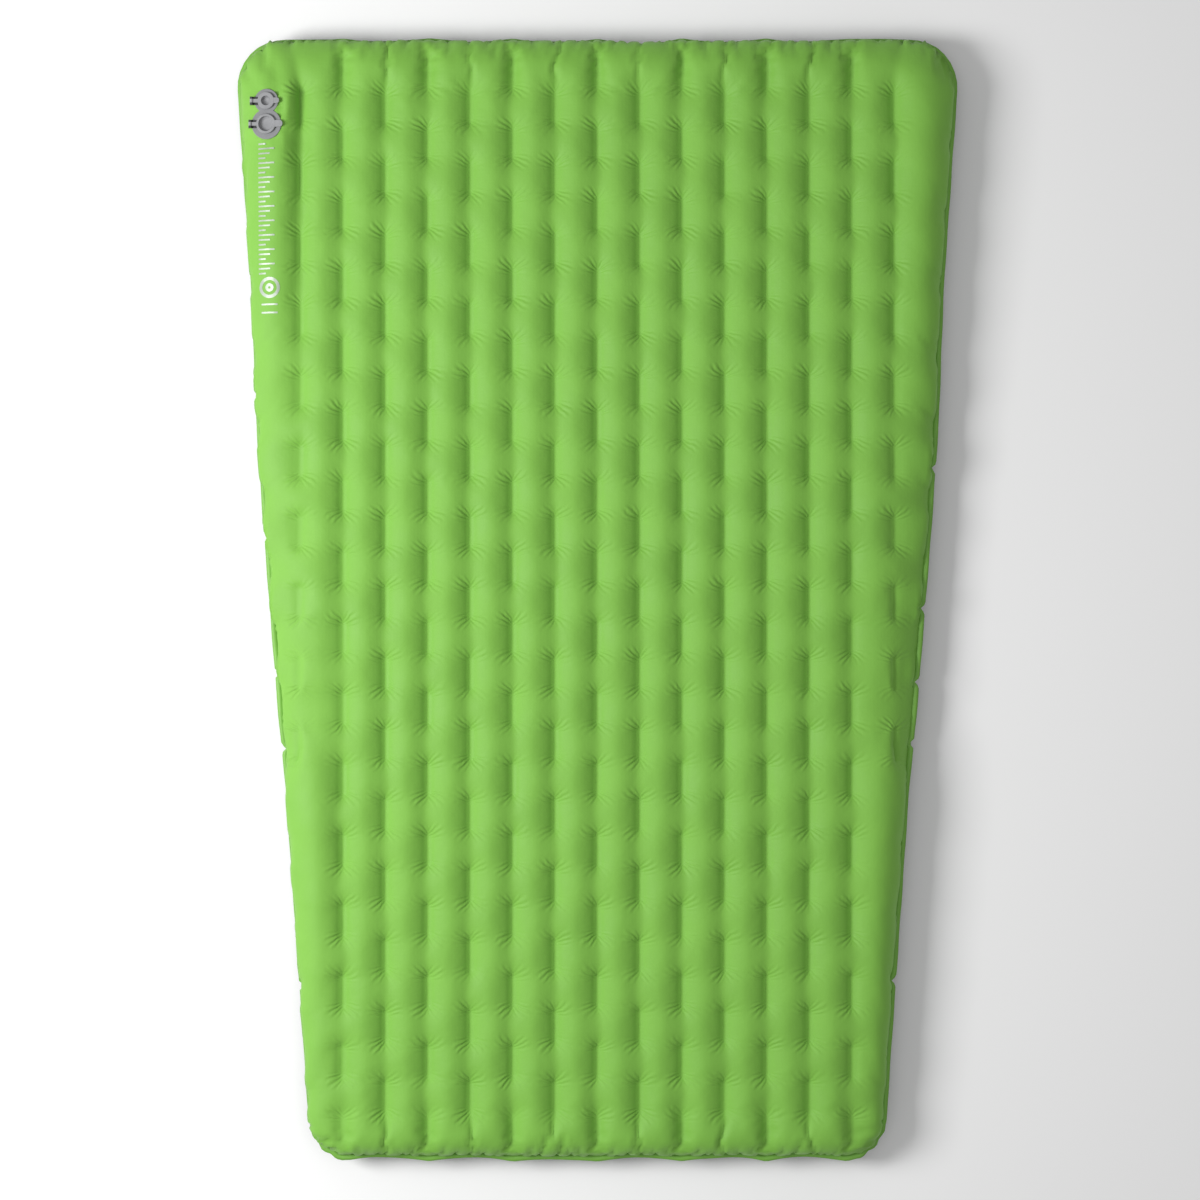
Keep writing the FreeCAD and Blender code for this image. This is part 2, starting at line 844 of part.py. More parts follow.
pieces = make_shells()
pieces += [make_baffle(number) for number in range(line_count)]
batt_top = mid + cell("weldHalf") - wall - cell("webWall")
pieces.append(make_layer("insulation_strips", batt_top, cell("battThick")))
pieces.append(make_layer("reflective_film", batt_top - cell("battThick"), cell("filmThick")))
pieces.append(make_base())
pieces.append(make_inflation_port())
small_port = port_ring("deflation_port", cell("smallRecess"), cell("smallBore"), as_size(0))
on_valve(small_port, lobe_spacing)
pieces.append(small_port)
pieces.append(make_check_flap())
lobes = [
    ("inflation", "big", as_size(0)),
    ("deflation", "small", lobe_spacing),
]
for use, lobe, along in lobes:
    recess = cell(f"{lobe}Recess")
    radius = cap_radius(lobe)
    hinge = radius + cell("hingeReach")
    tab = radius + cell(f"{lobe}TabReach")
    width = cell(f"{lobe}TabWidth")
    pieces.append(make_cap(f"{use}_cap", radius, recess, tab, width, hinge, along))
    pieces.append(make_seal(f"{use}_cap_seal", recess, along))
    pieces.append(make_bracket(f"{use}_hinge_bracket", recess, hinge, along))
    pieces.append(make_pin(f"{use}_hinge_pin", hinge, along))

doc.recompute()
for thing in doc.Objects:
    if "Invalid" in thing.State or "Error" in thing.State:
        raise ValueError(f"{thing.Label} did not build: {thing.State}")
for piece in pieces:
    if piece.Shape.isNull() or not piece.Shape.isValid():
        raise ValueError(f"{piece.Label} has no valid shape")

os.makedirs("parts", exist_ok=True)
for piece in pieces:
    piece.Shape.exportStep(f"parts/{piece.Label}.step")
    print(f"{piece.Label}: {len(piece.Shape.Solids)} solid(s), {piece.Shape.Volume:.0f} mm3")
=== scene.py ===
import json
import math

import bmesh
import bpy
import numpy as np
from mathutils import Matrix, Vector
from mathutils.bvhtree import BVHTree
from mathutils.kdtree import KDTree


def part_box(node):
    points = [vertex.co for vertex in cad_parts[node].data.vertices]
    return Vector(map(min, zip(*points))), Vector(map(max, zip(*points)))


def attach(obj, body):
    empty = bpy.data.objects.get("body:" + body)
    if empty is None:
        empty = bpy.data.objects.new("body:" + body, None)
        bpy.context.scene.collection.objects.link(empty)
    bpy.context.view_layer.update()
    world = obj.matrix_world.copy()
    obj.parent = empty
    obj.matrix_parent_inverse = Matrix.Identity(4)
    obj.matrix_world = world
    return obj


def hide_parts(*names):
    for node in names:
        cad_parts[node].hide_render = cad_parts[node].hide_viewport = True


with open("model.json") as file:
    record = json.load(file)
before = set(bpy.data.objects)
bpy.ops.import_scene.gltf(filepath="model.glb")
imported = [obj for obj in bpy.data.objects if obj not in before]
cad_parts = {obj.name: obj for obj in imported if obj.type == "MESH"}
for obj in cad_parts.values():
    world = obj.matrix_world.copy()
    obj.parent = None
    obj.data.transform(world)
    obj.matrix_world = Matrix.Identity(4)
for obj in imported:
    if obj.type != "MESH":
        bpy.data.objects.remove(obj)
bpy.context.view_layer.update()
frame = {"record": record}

scene = bpy.context.scene

# metres: x across the pad, y to its head end, z up from the floor
padPlan = {
    "rim": 0.010,  # welded border outside the air
    "headWidth": 1.334,
    "footWidth": 1.050,
    "headCorner": 0.080,
    "footCorner": 0.066,
    "cornerSteps": 8,
    "sideBow": 0.008,  # rails swell this much beside the short lines
    "bowHead": (0.62, 0.28),  # where the bow starts and is full
    "bowFoot": (-0.21, -0.36),
    "bowInner": 0.004,
    "bowWidth": 0.05,
    "scallop": 0.0065,  # head and foot seams are drawn in between end welds
    "scallopEnds": (0.12, 0.06),  # from the seam
    "outerScallop": 0.3,
    "seamReach": 0.022,  # how far in from the seam these pulls are felt
    "notchDepth": 0.0085,
    "notchHalf": 0.009,
    "crumple": 0.0042,  # the foot corners are gathered
    "crumpleFolds": 15,
    "leftNotches": (0.376, 0.116, -0.134, -0.271, -0.706),
    "rightNotches": (0.242, -0.015, -0.150, -0.262, -0.697),
}

welds = {
    "period": 0.1288,
    "length": 0.058,
    "first": 0.133,  # head end to the first weld's middle
    "half": 0.0032,
    "slackAcross": 0.0004,
    "slackAlong": 0.001,
    "height": 0.0267,  # over the middle plane
    "climb": 1.9,  # how steeply the end welds rise from the seam
    "lift": 0.0006,  # cloth over the baffle's edge, uneven from weld to weld
    "unevenLift": 0.0005,
    "unbrokenLift": 0.0008,
    "shortEnd": -0.294,
    "headEnd": 0.931,  # the end welds run from here to the seam
    "footEnd": -0.935,
    "unbroken": 0.50,  # the line beside the valve is closed from here to the head
}


def smooth(value, start, end):
    t = np.clip((value - start) / (end - start), 0, 1)
    return t * t * (3 - 2 * t)


def lineCentres():
    centres = []
    for number in range(1, 16):
        low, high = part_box(f"baffle_{number:02d}")
        centres.append((low[0] + high[0]) / 2)
    return centres


lineX = lineCentres()
pitch = (lineX[-1] - lineX[0]) / (len(lineX) - 1)
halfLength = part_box("top_shell")[1][1]
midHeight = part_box("bottom_shell")[1][2]
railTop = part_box("top_shell")[1][2] - midHeight


def roundedPlan(inset):
    # the tapered outline drawn in by the inset, anticlockwise, corners as short chords
    taper = (padPlan["headWidth"] - padPlan["footWidth"]) / 4 / halfLength
    side = inset * math.hypot(1, taper)
    end = halfLength - inset
    head = padPlan["headWidth"] / 2 - taper * inset - side
    foot = padPlan["footWidth"] / 2 + taper * inset - side
    corners = [(-foot, -end), (foot, -end), (head, end), (-head, end)]
    radii = [padPlan["footCorner"]] * 2 + [padPlan["headCorner"]] * 2
    points = []
    for number, corner in enumerate(corners):
        here = np.array(corner)
        before = np.array(corners[number - 1]) - here
        after = np.array(corners[(number + 1) % 4]) - here
        before /= np.linalg.norm(before)
        after /= np.linalg.norm(after)
        half = math.acos(np.dot(before, after)) / 2
        radius = radii[number]
        middle = here + (before + after) / np.linalg.norm(before + after) * radius / math.sin(half)
        start = here + before * radius / math.tan(half) - middle
        turn = math.pi - 2 * half
        for step in range(padPlan["cornerSteps"] + 1):
            angle = turn * step / padPlan["cornerSteps"]
            cosA, sinA = math.cos(angle), math.sin(angle)
            points.append(middle + (start[0] * cosA - start[1] * sinA, start[0] * sinA + start[1] * cosA))
    return np.array(points)


seamPlan = roundedPlan(padPlan["rim"])


def nearestOnPlan(points):
    # distance to the seam and the nearest point on it
    best = np.full(len(points), 1e9)
    nearest = np.zeros((len(points), 2))
    for start, end in zip(seamPlan, np.roll(seamPlan, -1, axis=0)):
        along = end - start
        share = np.clip((points - start) @ along / (along @ along), 0, 1)
        spot = start + share[:, None] * along
        gap = np.linalg.norm(points - spot, axis=1)
        closer = gap < best
        best[closer] = gap[closer]
        nearest[closer] = spot[closer]
    return best, nearest


def weldSpans(number):
    # the welded stretches of one baffle line, as (low y, high y)
    half = welds["length"] / 2
    shift = welds["period"] / 2 if number % 2 else 0
    middle = halfLength - welds["first"] - shift
    outermost = number in (0, len(lineX) - 1)
    floor = welds["shortEnd"] if outermost else welds["footEnd"] + half
    spans = []
    while middle - half > floor:
        spans.append((middle - half, middle + half))
        middle -= welds["period"]
    if number % 2:
        spans.append((welds["headEnd"], halfLength))
        spans.append((-halfLength, welds["footEnd"]))
    elif not outermost:
        spans.append((middle - half, middle + half))
    return spans


sheetMesh = {
    "perChamber": 11,
    "perPeriod": 20,
    "mergeUnder": 0.0026,
}


def gridLines():
    columns = []
    for number, centre in enumerate(lineX):
        columns += [centre - welds["half"], centre + welds["half"]]
        if number + 1 < len(lineX):
            start, end = centre + welds["half"], lineX[number + 1] - welds["half"]
            columns += list(np.linspace(start, end, sheetMesh["perChamber"] + 1)[1:-1])
    step = (pitch - 2 * welds["half"]) / sheetMesh["perChamber"]
    reach = padPlan["headWidth"] / 2
    outer = np.arange(columns[-1] + step, reach + step, step)
    columns = sorted(columns + list(outer) + list(-outer))
    rowStep = welds["period"] / sheetMesh["perPeriod"]
    middle = halfLength - welds["first"]
    count = int(2 * halfLength / rowStep) + 2
    rows = middle + rowStep * (np.arange(-count, count) + 0.5)
    rows = rows[np.abs(rows) < halfLength + rowStep]
    return np.array(columns), rows


def buildFlatSheet():
    # a regular grid trimmed along the seam
    columns, rows = gridLines()
    across, along = np.meshgrid(columns, rows, indexing="ij")
    numbers = np.arange(across.size).reshape(across.shape)
    faces = np.stack(
        [numbers[:-1, :-1], numbers[1:, :-1], numbers[1:, 1:], numbers[:-1, 1:]], axis=-1
    ).reshape(-1, 4)
    verts = np.stack([across.ravel(), along.ravel(), np.zeros(across.size)], axis=1)
    mesh = bpy.data.meshes.new("flatSheet")
    mesh.from_pydata(verts.tolist(), [], faces.tolist())
    sheet = bmesh.new()
    sheet.from_mesh(mesh)
    for start, end in zip(seamPlan, np.roll(seamPlan, -1, axis=0)):
        outward = Vector((end[1] - start[1], start[0] - end[0], 0))
        if outward.length < 1e-6:
            continue
        bmesh.ops.bisect_plane(
            sheet,
            geom=sheet.verts[:] + sheet.edges[:] + sheet.faces[:],
            dist=1e-6,
            plane_co=(*start, 0),
            plane_no=outward,
            clear_outer=True,
        )
    bmesh.ops.remove_doubles(sheet, verts=sheet.verts[:], dist=sheetMesh["mergeUnder"])
    loose = [vert for vert in sheet.verts if not vert.link_faces]
    bmesh.ops.delete(sheet, geom=loose, context="VERTS")
    sheet.to_mesh(mesh)
    edge = np.array([vert.is_boundary for vert in sheet.verts])
    sheet.free()
    return mesh, edge


def meshPoints(mesh):
    flat = np.empty(len(mesh.vertices) * 3)
    mesh.vertices.foreach_get("co", flat)
    return flat.reshape(-1, 3)


cut = {
    "chamber": 1.12,  # flat cloth over drawn-in width, between welds
    "rail": 1.38,
    "railBlend": 0.07,
    "spareAlong": 0.0033,  # cloth shared out from each line's welds to its gaps
    "spareAcross": 0.0040,  # and from beside the gaps to beside the welds
    "fieldEdge": (0.06, 0.14),  # the sharing fades in this far from the head and foot
    "headExtra": 0.022,  # spare length that lets each chamber's end round over
    "endReach": 0.075,
}


def quiltPhase(points):
    # angles that turn once per weld along the pad and half a turn per line across it
    swing = 2 * math.pi * (points[:, 1] - halfLength + welds["first"]) / welds["period"]
    across = np.clip(points[:, 0], lineX[0] - pitch / 2, lineX[-1] + pitch / 2)
    return swing, math.pi * (across - lineX[0]) / pitch


def fieldShare(points):
    # the even quilting stops short of the head and foot
    return smooth(halfLength - np.abs(points[:, 1]), *cut["fieldEdge"])


def cutAcross(points):
    # where a point lay on the flat cut cloth, across the pad
    def widths(first, last):
        stops, places = [lineX[first] - 1.0], [0.0]
        scale = cut["rail"]
        for centre in lineX[first:last + 1]:
            for stop, growth in ((centre - welds["half"], scale), (centre + welds["half"], 1.0)):
                places.append(places[-1] + (stop - stops[-1]) * growth)
                stops.append(stop)
            scale = cut["chamber"]
        places.append(places[-1] + (lineX[last] + 1.0 - stops[-1]) * cut["rail"])
        stops.append(lineX[last] + 1.0)
        laid = np.interp(points[:, 0], stops, places)
        return laid - np.interp(0.0, stops, places)

    headPart = widths(0, len(lineX) - 1)
    footPart = widths(1, len(lineX) - 2)
    short = welds["shortEnd"]
    share = smooth(points[:, 1], short - cut["railBlend"], short + cut["railBlend"])
    swing, phase = quiltPhase(points)
    sharing = np.sin(phase) * np.cos(swing) * fieldShare(points)
    return footPart + (headPart - footPart) * share + cut["spareAcross"] * sharing


def cutAlong(points):
    end = halfLength - padPlan["rim"]
    head = np.clip(1 - (end - points[:, 1]) / cut["endReach"], 0, 1)
    foot = np.clip(1 - (end + points[:, 1]) / cut["endReach"], 0, 1)
    swing, phase = quiltPhase(points)
    sharing = -np.sin(swing) * np.cos(phase) * fieldShare(points)
    return points[:, 1] + cut["headExtra"] * (head**2 - foot**2) + cut["spareAlong"] * sharing


def drawnIn(points, depth):
    # how air draws the outline: bowed rails, scalloped ends and small puckers at the sides
    moved = points.copy()
    x, y = points[:, 0], points[:, 1]
    side = np.sign(x)
    rail = np.clip((np.abs(x) - lineX[-1] - padPlan["bowInner"]) / padPlan["bowWidth"], 0, 1)
    swell = smooth(y, *padPlan["bowHead"]) * (1 - smooth(y, *padPlan["bowFoot"]))
    moved[:, 0] += side * padPlan["sideBow"] * swell * rail
    near = np.exp(-depth / padPlan["seamReach"])
    acrossBay = (x / (2 * pitch)) % 1.0
    bay = 1 - (2 * acrossBay - 1) ** 2
    outer = smooth(np.abs(x), lineX[-2] - welds["slackAlong"], lineX[-2] + welds["slackAlong"])
    inField = 1 - (1 - padPlan["outerScallop"]) * outer
    start, full = padPlan["scallopEnds"]
    ends = smooth(np.abs(y), halfLength - start, halfLength - full)
    uneven = 1 + 0.3 * np.sin(x * 9.1 + np.sign(y)) + 0.2 * np.sin(x * 23.0)  # no two bays alike
    moved[:, 1] -= np.sign(y) * padPlan["scallop"] * bay * inField * ends * near * uneven
    middleX = padPlan["footWidth"] / 2 - padPlan["rim"] - padPlan["footCorner"]
    middleY = halfLength - padPlan["rim"] - padPlan["footCorner"]
    outX, outY = np.maximum(np.abs(x) - middleX, 0), np.maximum(-y - middleY, 0)
    turn = np.arctan2(outY, outX)
    gathers = (1 + np.sin(turn * padPlan["crumpleFolds"] + side)) / 2
    folds = np.sin(turn * 2) * gathers * (y < 0)
    moved[:, 0] -= side * padPlan["crumple"] * folds * np.cos(turn) * near
    moved[:, 1] += padPlan["crumple"] * folds * np.sin(turn) * near
    for sign, notches in ((-1, padPlan["leftNotches"]), (1, padPlan["rightNotches"])):
        for place in notches:
            dip = np.clip(1 - np.abs(y - place) / padPlan["notchHalf"], 0, 1)
            moved[:, 0] -= sign * padPlan["notchDepth"] * dip * near * (side == sign)
    return moved


guess = {
    "round": 0.050,  # the rail's edge
    "crown": 0.0178,  # a chamber's top over its welds
    "flank": 0.055,
}


def startHeight(points, depth):
    # a first guess at the inflated upper half, over the middle plane
    edgeRound = guess["round"]
    reach = np.minimum(depth, edgeRound)
    dome = np.sqrt(np.maximum(edgeRound**2 - (edgeRound - reach) ** 2, 0)) * (railTop / edgeRound)
    phase = ((points[:, 0] - lineX[0]) / pitch) % 1.0
    crown = guess["crown"] * np.sqrt(np.maximum(1 - (2 * phase - 1) ** 2, 0))
    chamber = welds["height"] + crown
    outer = np.where(points[:, 1] > welds["shortEnd"], lineX[-1], lineX[-2])
    beyond = np.clip((np.abs(points[:, 0]) - outer) / guess["flank"], 0, 1)
    flank = welds["height"] + (railTop - welds["height"]) * np.sqrt(1 - (1 - beyond) ** 2)
    section = np.where(np.abs(points[:, 0]) > outer, flank, chamber)
    return np.minimum(section, dome)


valveSeat = {
    "overBore": 0.0065,  # the seat lies this far over the bore's mount
    "bigLobe": 0.0275,
    "smallLobe": 0.022,
    "under": 0.0002,  # cloth under the moulded base
    "bigHole": 0.0215,
    "smallHole": 0.0165,
    "blend": (0.055, 0.085),  # the underside takes the other rail's shape within this
}


def seatFrame():
    # the valve's flat seat, from the two bores' mounts
    mounts = {mount["name"]: mount for mount in frame["record"]["mounts"]}
    big, small = mounts["inflation_bore"], mounts["deflation_bore"]
    normal = np.array(big["axis"])
    middle = np.array(big["pos_m"]) + normal * valveSeat["overBore"]
    return middle, normal, small["pos_m"][1] - big["pos_m"][1]


seatMiddle, seatNormal, lobeSpacing = seatFrame()


def lobeDistance(points):
    big = np.hypot(points[:, 0] - seatMiddle[0], points[:, 1] - seatMiddle[1])
    small = np.hypot(points[:, 0] - seatMiddle[0], points[:, 1] - seatMiddle[1] - lobeSpacing)
    return big, small


def weldedPoints(points, depth, edge):
    # which points are held, and at what height over the middle plane
    held = edge.copy()
    height = np.zeros(len(points))
    climb = np.minimum(welds["height"], depth * welds["climb"])
    slack = welds["slackAlong"]
    for number, centre in enumerate(lineX):
        onLine = np.abs(points[:, 0] - centre) < welds["half"] + welds["slackAcross"]
        for count, (low, high) in enumerate(weldSpans(number)):
            onWeld = onLine & (points[:, 1] > low - slack) & (points[:, 1] < high + slack) & ~edge
            lift = welds["lift"] + welds["unevenLift"] * math.sin(number * 2.3 + count * 1.7)
            height[onWeld] = climb[onWeld] + lift
            held |= onWeld
        if number == 0:
            topWeld = weldSpans(number)[0][1]
            closed = onLine & (points[:, 1] > welds["unbroken"]) & (points[:, 1] < topWeld) & ~held
            height[closed] = climb[closed] + welds["unbrokenLift"]
            held |= closed
    big, small = lobeDistance(points)
    seated = (big < valveSeat["bigLobe"]) | (small < valveSeat["smallLobe"])
    level = seatMiddle[2] - (points[:, 0] - seatMiddle[0]) * seatNormal[0] / seatNormal[2]
    height[seated] = level[seated] - midHeight - valveSeat["under"]
    return held | seated, height, seated


airing = {
    "scale": 10.0,  # the cloth solver works better on a larger copy
    "drawFrames": 8,
    "frames": 16,
    "quality": 5,
    "mass": 0.02,
    "stiffness": 400,
    "shear": 60,
    "bending": 0.1,
    "pressure": 30,
    "airDamping": 2,
}


def airUp(mesh, cutShape, drawnShape, held):
    # lays the cut cloth flat, draws its welds together and lets the air lift it
    scale = airing["scale"]
    cloth = bpy.data.objects.new("airedCloth", mesh)
    scene.collection.objects.link(cloth)
    mesh.vertices.foreach_set("co", (cutShape * scale).ravel())
    cloth.shape_key_add(name="cut")
    drawn = cloth.shape_key_add(name="drawn")
    drawn.data.foreach_set("co", (drawnShape * scale).ravel())
    pins = cloth.vertex_groups.new(name="welded")
    pins.add(np.nonzero(held)[0].tolist(), 1.0, "REPLACE")
    solver = cloth.modifiers.new("air", "CLOTH")
    settings = solver.settings
    settings.quality = airing["quality"]
    settings.mass = airing["mass"]
    settings.tension_stiffness = airing["stiffness"]
    settings.compression_stiffness = airing["stiffness"]
    settings.shear_stiffness = airing["shear"]
    settings.bending_stiffness = airing["bending"]
    settings.air_damping = airing["airDamping"]
    settings.vertex_group_mass = pins.name
    settings.use_pressure = True
    settings.uniform_pressure_force = airing["pressure"]
    settings.effector_weights.gravity = 0
    solver.collision_settings.use_collision = False
    solver.point_cache.frame_end = airing["frames"]
    for number in range(airing["drawFrames"] + 1):
        drawn.value = number / airing["drawFrames"]
        drawn.keyframe_insert("value", frame=number + 1)
    for number in range(1, airing["frames"] + 1):
        scene.frame_set(number)
    aired = cloth.evaluated_get(bpy.context.evaluated_depsgraph_get())
    result = meshPoints(aired.to_mesh()) / scale
    aired.to_mesh_clear()
    bpy.data.objects.remove(cloth)
    scene.frame_set(1)
    return result


def airedTop():
    mesh, edge = buildFlatSheet()
    flat = meshPoints(mesh)
    depth, nearest = nearestOnPlan(flat[:, :2])
    flat[edge, :2] = nearest[edge]
    depth[edge] = 0
    held, height, seated = weldedPoints(flat, depth, edge)
    drawnShape = drawnIn(flat, depth)
    drawnShape[:, 2] = startHeight(flat, depth)
    drawnShape[held, 2] = height[held]
    print("sheet points", len(flat), "held", int(held.sum()))
    cutShape = np.stack([cutAcross(flat), cutAlong(flat), np.zeros(len(flat))], axis=1)
    aired = airUp(mesh, cutShape, drawnShape, held)
    return mesh, flat, keptIn(aired, drawnShape, flat, depth, nearest)


kept = {
    "overhang": 0.9,  # share of its way to the seam that cloth may lean out
    "rise": 0.35,
    "riseEnd": 0.004,
    "cover": 0.0018,  # cloth over the short lines' loose ends
    "coverHalf": 0.004,
    "coverReach": 0.012,
    "coverLength": 0.06,
    "coverFall": 0.8,
    "lean": 0.0115,  # the aired rail swells out over the pressed seam
    "leanFull": (0.0, 0.009),
    "leanGone": (0.012, 0.050),
    "leanReach": (0.035, 0.075),
    "footLean": 0.25,
    "rightLean": 0.35,
    "facing": (0.3, 0.9),
}


def keptIn(shape, drawnShape, flat, depth, nearest):
    # cloth stands up from the seam without hanging over it, and covers the short lines' ends
    outward = (nearest - flat[:, :2]) / np.maximum(depth, 1e-5)[:, None]
    leaned = np.sum((shape - drawnShape)[:, :2] * outward, axis=1)
    over = np.maximum(leaned - kept["overhang"] * depth, 0)
    shape[:, :2] -= outward * over[:, None]
    shape[:, 2] = np.maximum(shape[:, 2], np.minimum(depth * kept["rise"], kept["riseEnd"]))
    height = shape[:, 2]
    swell = smooth(height, *kept["leanFull"]) * (1 - smooth(height, *kept["leanGone"]))
    swell *= 1 - smooth(depth, *kept["leanReach"])
    facingRight = smooth(outward[:, 0], *kept["facing"])
    facingFoot = smooth(-outward[:, 1], *kept["facing"])
    share = 1 - (1 - kept["rightLean"]) * facingRight
    share = np.minimum(share, 1 - (1 - kept["footLean"]) * facingFoot)
    shape[:, :2] += outward * (kept["lean"] * swell * share)[:, None]
    for number in (1, len(lineX)):
        low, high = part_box(f"baffle_{number:02d}")
        aside = np.abs(shape[:, 0] - (low[0] + high[0]) / 2)
        beyond = np.maximum(low[1] - shape[:, 1], 0)
        half = kept["coverHalf"]
        away = np.hypot(np.maximum(aside - half, 0), np.maximum(beyond - half, 0))
        near = (away < kept["coverReach"]) & (shape[:, 1] < low[1] + kept["coverLength"])
        level = high[2] - midHeight + kept["cover"] - away * kept["coverFall"]
        shape[near, 2] = np.maximum(shape[near, 2], level[near])
    return shape


relaxed = {
    "rounds": 9,
    "rate": 0.6,
    "gap": (0.0, 0.45),
    "outerLine": 0.6,
    "cornerStart": (0.016, 0.030),  # from the head seam
    "cornerEnd": (0.085, 0.105),
    "cornerAside": (0.030, 0.060),  # from the outermost line
    "seam": (0.004, 0.020),
}


def relaxGaps(mesh, flat, shape):
    # lets the cloth settle over the gaps between welds and at the two head corners
    edges = np.array([tuple(edge.vertices) for edge in mesh.edges])
    swing, phase = quiltPhase(flat)
    outer = smooth(np.abs(flat[:, 0]), lineX[-1] - pitch / 2, lineX[-1] - pitch / 4)
    inner = 1 - (1 - relaxed["outerLine"]) * outer
    gap = smooth(-np.cos(swing) * np.cos(phase), *relaxed["gap"])
    share = gap * fieldShare(flat) * inner
    toHead = halfLength - flat[:, 1]
    aside = np.abs(np.abs(flat[:, 0]) - lineX[-1])
    corner = smooth(toHead, *relaxed["cornerStart"]) * (1 - smooth(toHead, *relaxed["cornerEnd"]))
    share = np.maximum(share, corner * (1 - smooth(aside, *relaxed["cornerAside"])))
    share *= smooth(nearestOnPlan(flat[:, :2])[0], *relaxed["seam"])
    count = np.bincount(edges.ravel(), minlength=len(flat)).astype(float)
    eased = shape.copy()
    for _ in range(relaxed["rounds"]):
        total = np.zeros_like(eased)
        np.add.at(total, edges[:, 0], eased[edges[:, 1]])
        np.add.at(total, edges[:, 1], eased[edges[:, 0]])
        eased += (share * relaxed["rate"])[:, None] * (total / count[:, None] - eased)
    return eased


def withoutSeat(flat, shape):
    # the underside has no valve: it takes the other rail's shape there
    tree = KDTree(len(flat))
    for number, point in enumerate(flat):
        tree.insert(point, number)
    tree.balance()
    big, small = lobeDistance(flat)
    share = 1 - smooth(np.minimum(big, small), *valveSeat["blend"])
    plain = shape.copy()
    for number in np.nonzero(share > 0)[0]:
        partner = tree.find((-flat[number][0], flat[number][1], flat[number][2]))[1]
        other = shape[partner] * (-1, 1, 1)
        plain[number] += share[number] * (other - shape[number])
    return plain


def newPiece(name, verts, faces, material, body="pad"):
    mesh = bpy.data.meshes.new(name)
    mesh.from_pydata([tuple(v) for v in verts], [], [tuple(f) for f in faces])
    mesh.polygons.foreach_set("use_smooth", [True] * len(mesh.polygons))
    mesh.materials.append(material)
    piece = bpy.data.objects.new(name, mesh)
    scene.collection.objects.link(piece)
    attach(piece, body)
    return piece


def addNode(tree, kind, values=None, **settings):
    node = tree.nodes.new(kind)
    for key, value in settings.items():
        setattr(node, key, value)
    for key, value in (values or {}).items():
        if isinstance(value, bpy.types.NodeSocket):
            tree.links.new(value, node.inputs[key])
        else:
            node.inputs[key].default_value = value
    return node


def maths(tree, operation, first, second=0.0, third=0.0):
    values = {0: first, 1: second, 2: third}
    return addNode(tree, "ShaderNodeMath", values, operation=operation).outputs[0]


def between(tree, value, start, end, low=0.0, high=1.0):
    values = {"Value": value, "From Min": start, "From Max": end, "To Min": low, "To Max": high}
    node = addNode(tree, "ShaderNodeMapRange", values, interpolation_type="SMOOTHSTEP")
    return node.outputs["Result"]


def noise(tree, place, scale, detail=2.0):
    values = {"Vector": place, "Scale": scale, "Detail": detail}
    return addNode(tree, "ShaderNodeTexNoise", values).outputs["Fac"]


def newGroup(name, outputs):
    group = bpy.data.node_groups.new(name, "ShaderNodeTree")
    group.interface.new_socket("Place", in_out="INPUT", socket_type="NodeSocketVector")
    for label in outputs:
        group.interface.new_socket(label, in_out="OUTPUT", socket_type="NodeSocketFloat")
    return group, group.nodes.new("NodeGroupInput").outputs["Place"]


def closeGroup(group, sockets):
    end = group.nodes.new("NodeGroupOutput")
    for label, socket in sockets.items():
        group.links.new(socket, end.inputs[label])
    return group


puckers = {
    "rays": 23.0,  # creases per full turn
    "height": 0.0006,
    "back": 0.012,  # they spread from a point this far inside the weld's end
    "aside": 0.017,  # middle of each patch of creases, from the line and past the weld's end
    "past": 0.005,
    "full": 0.006,
    "end": 0.021,
    "rightSide": 0.6,
    "endMargin": 0.07,  # none this close to the head and foot
    "wander": 8.0,
    "wanderScale": 30.0,
    "patchScale": 11.0,
    "lineTurn": 7.3,  # no two patches alike
    "weldTurn": 3.1,
}


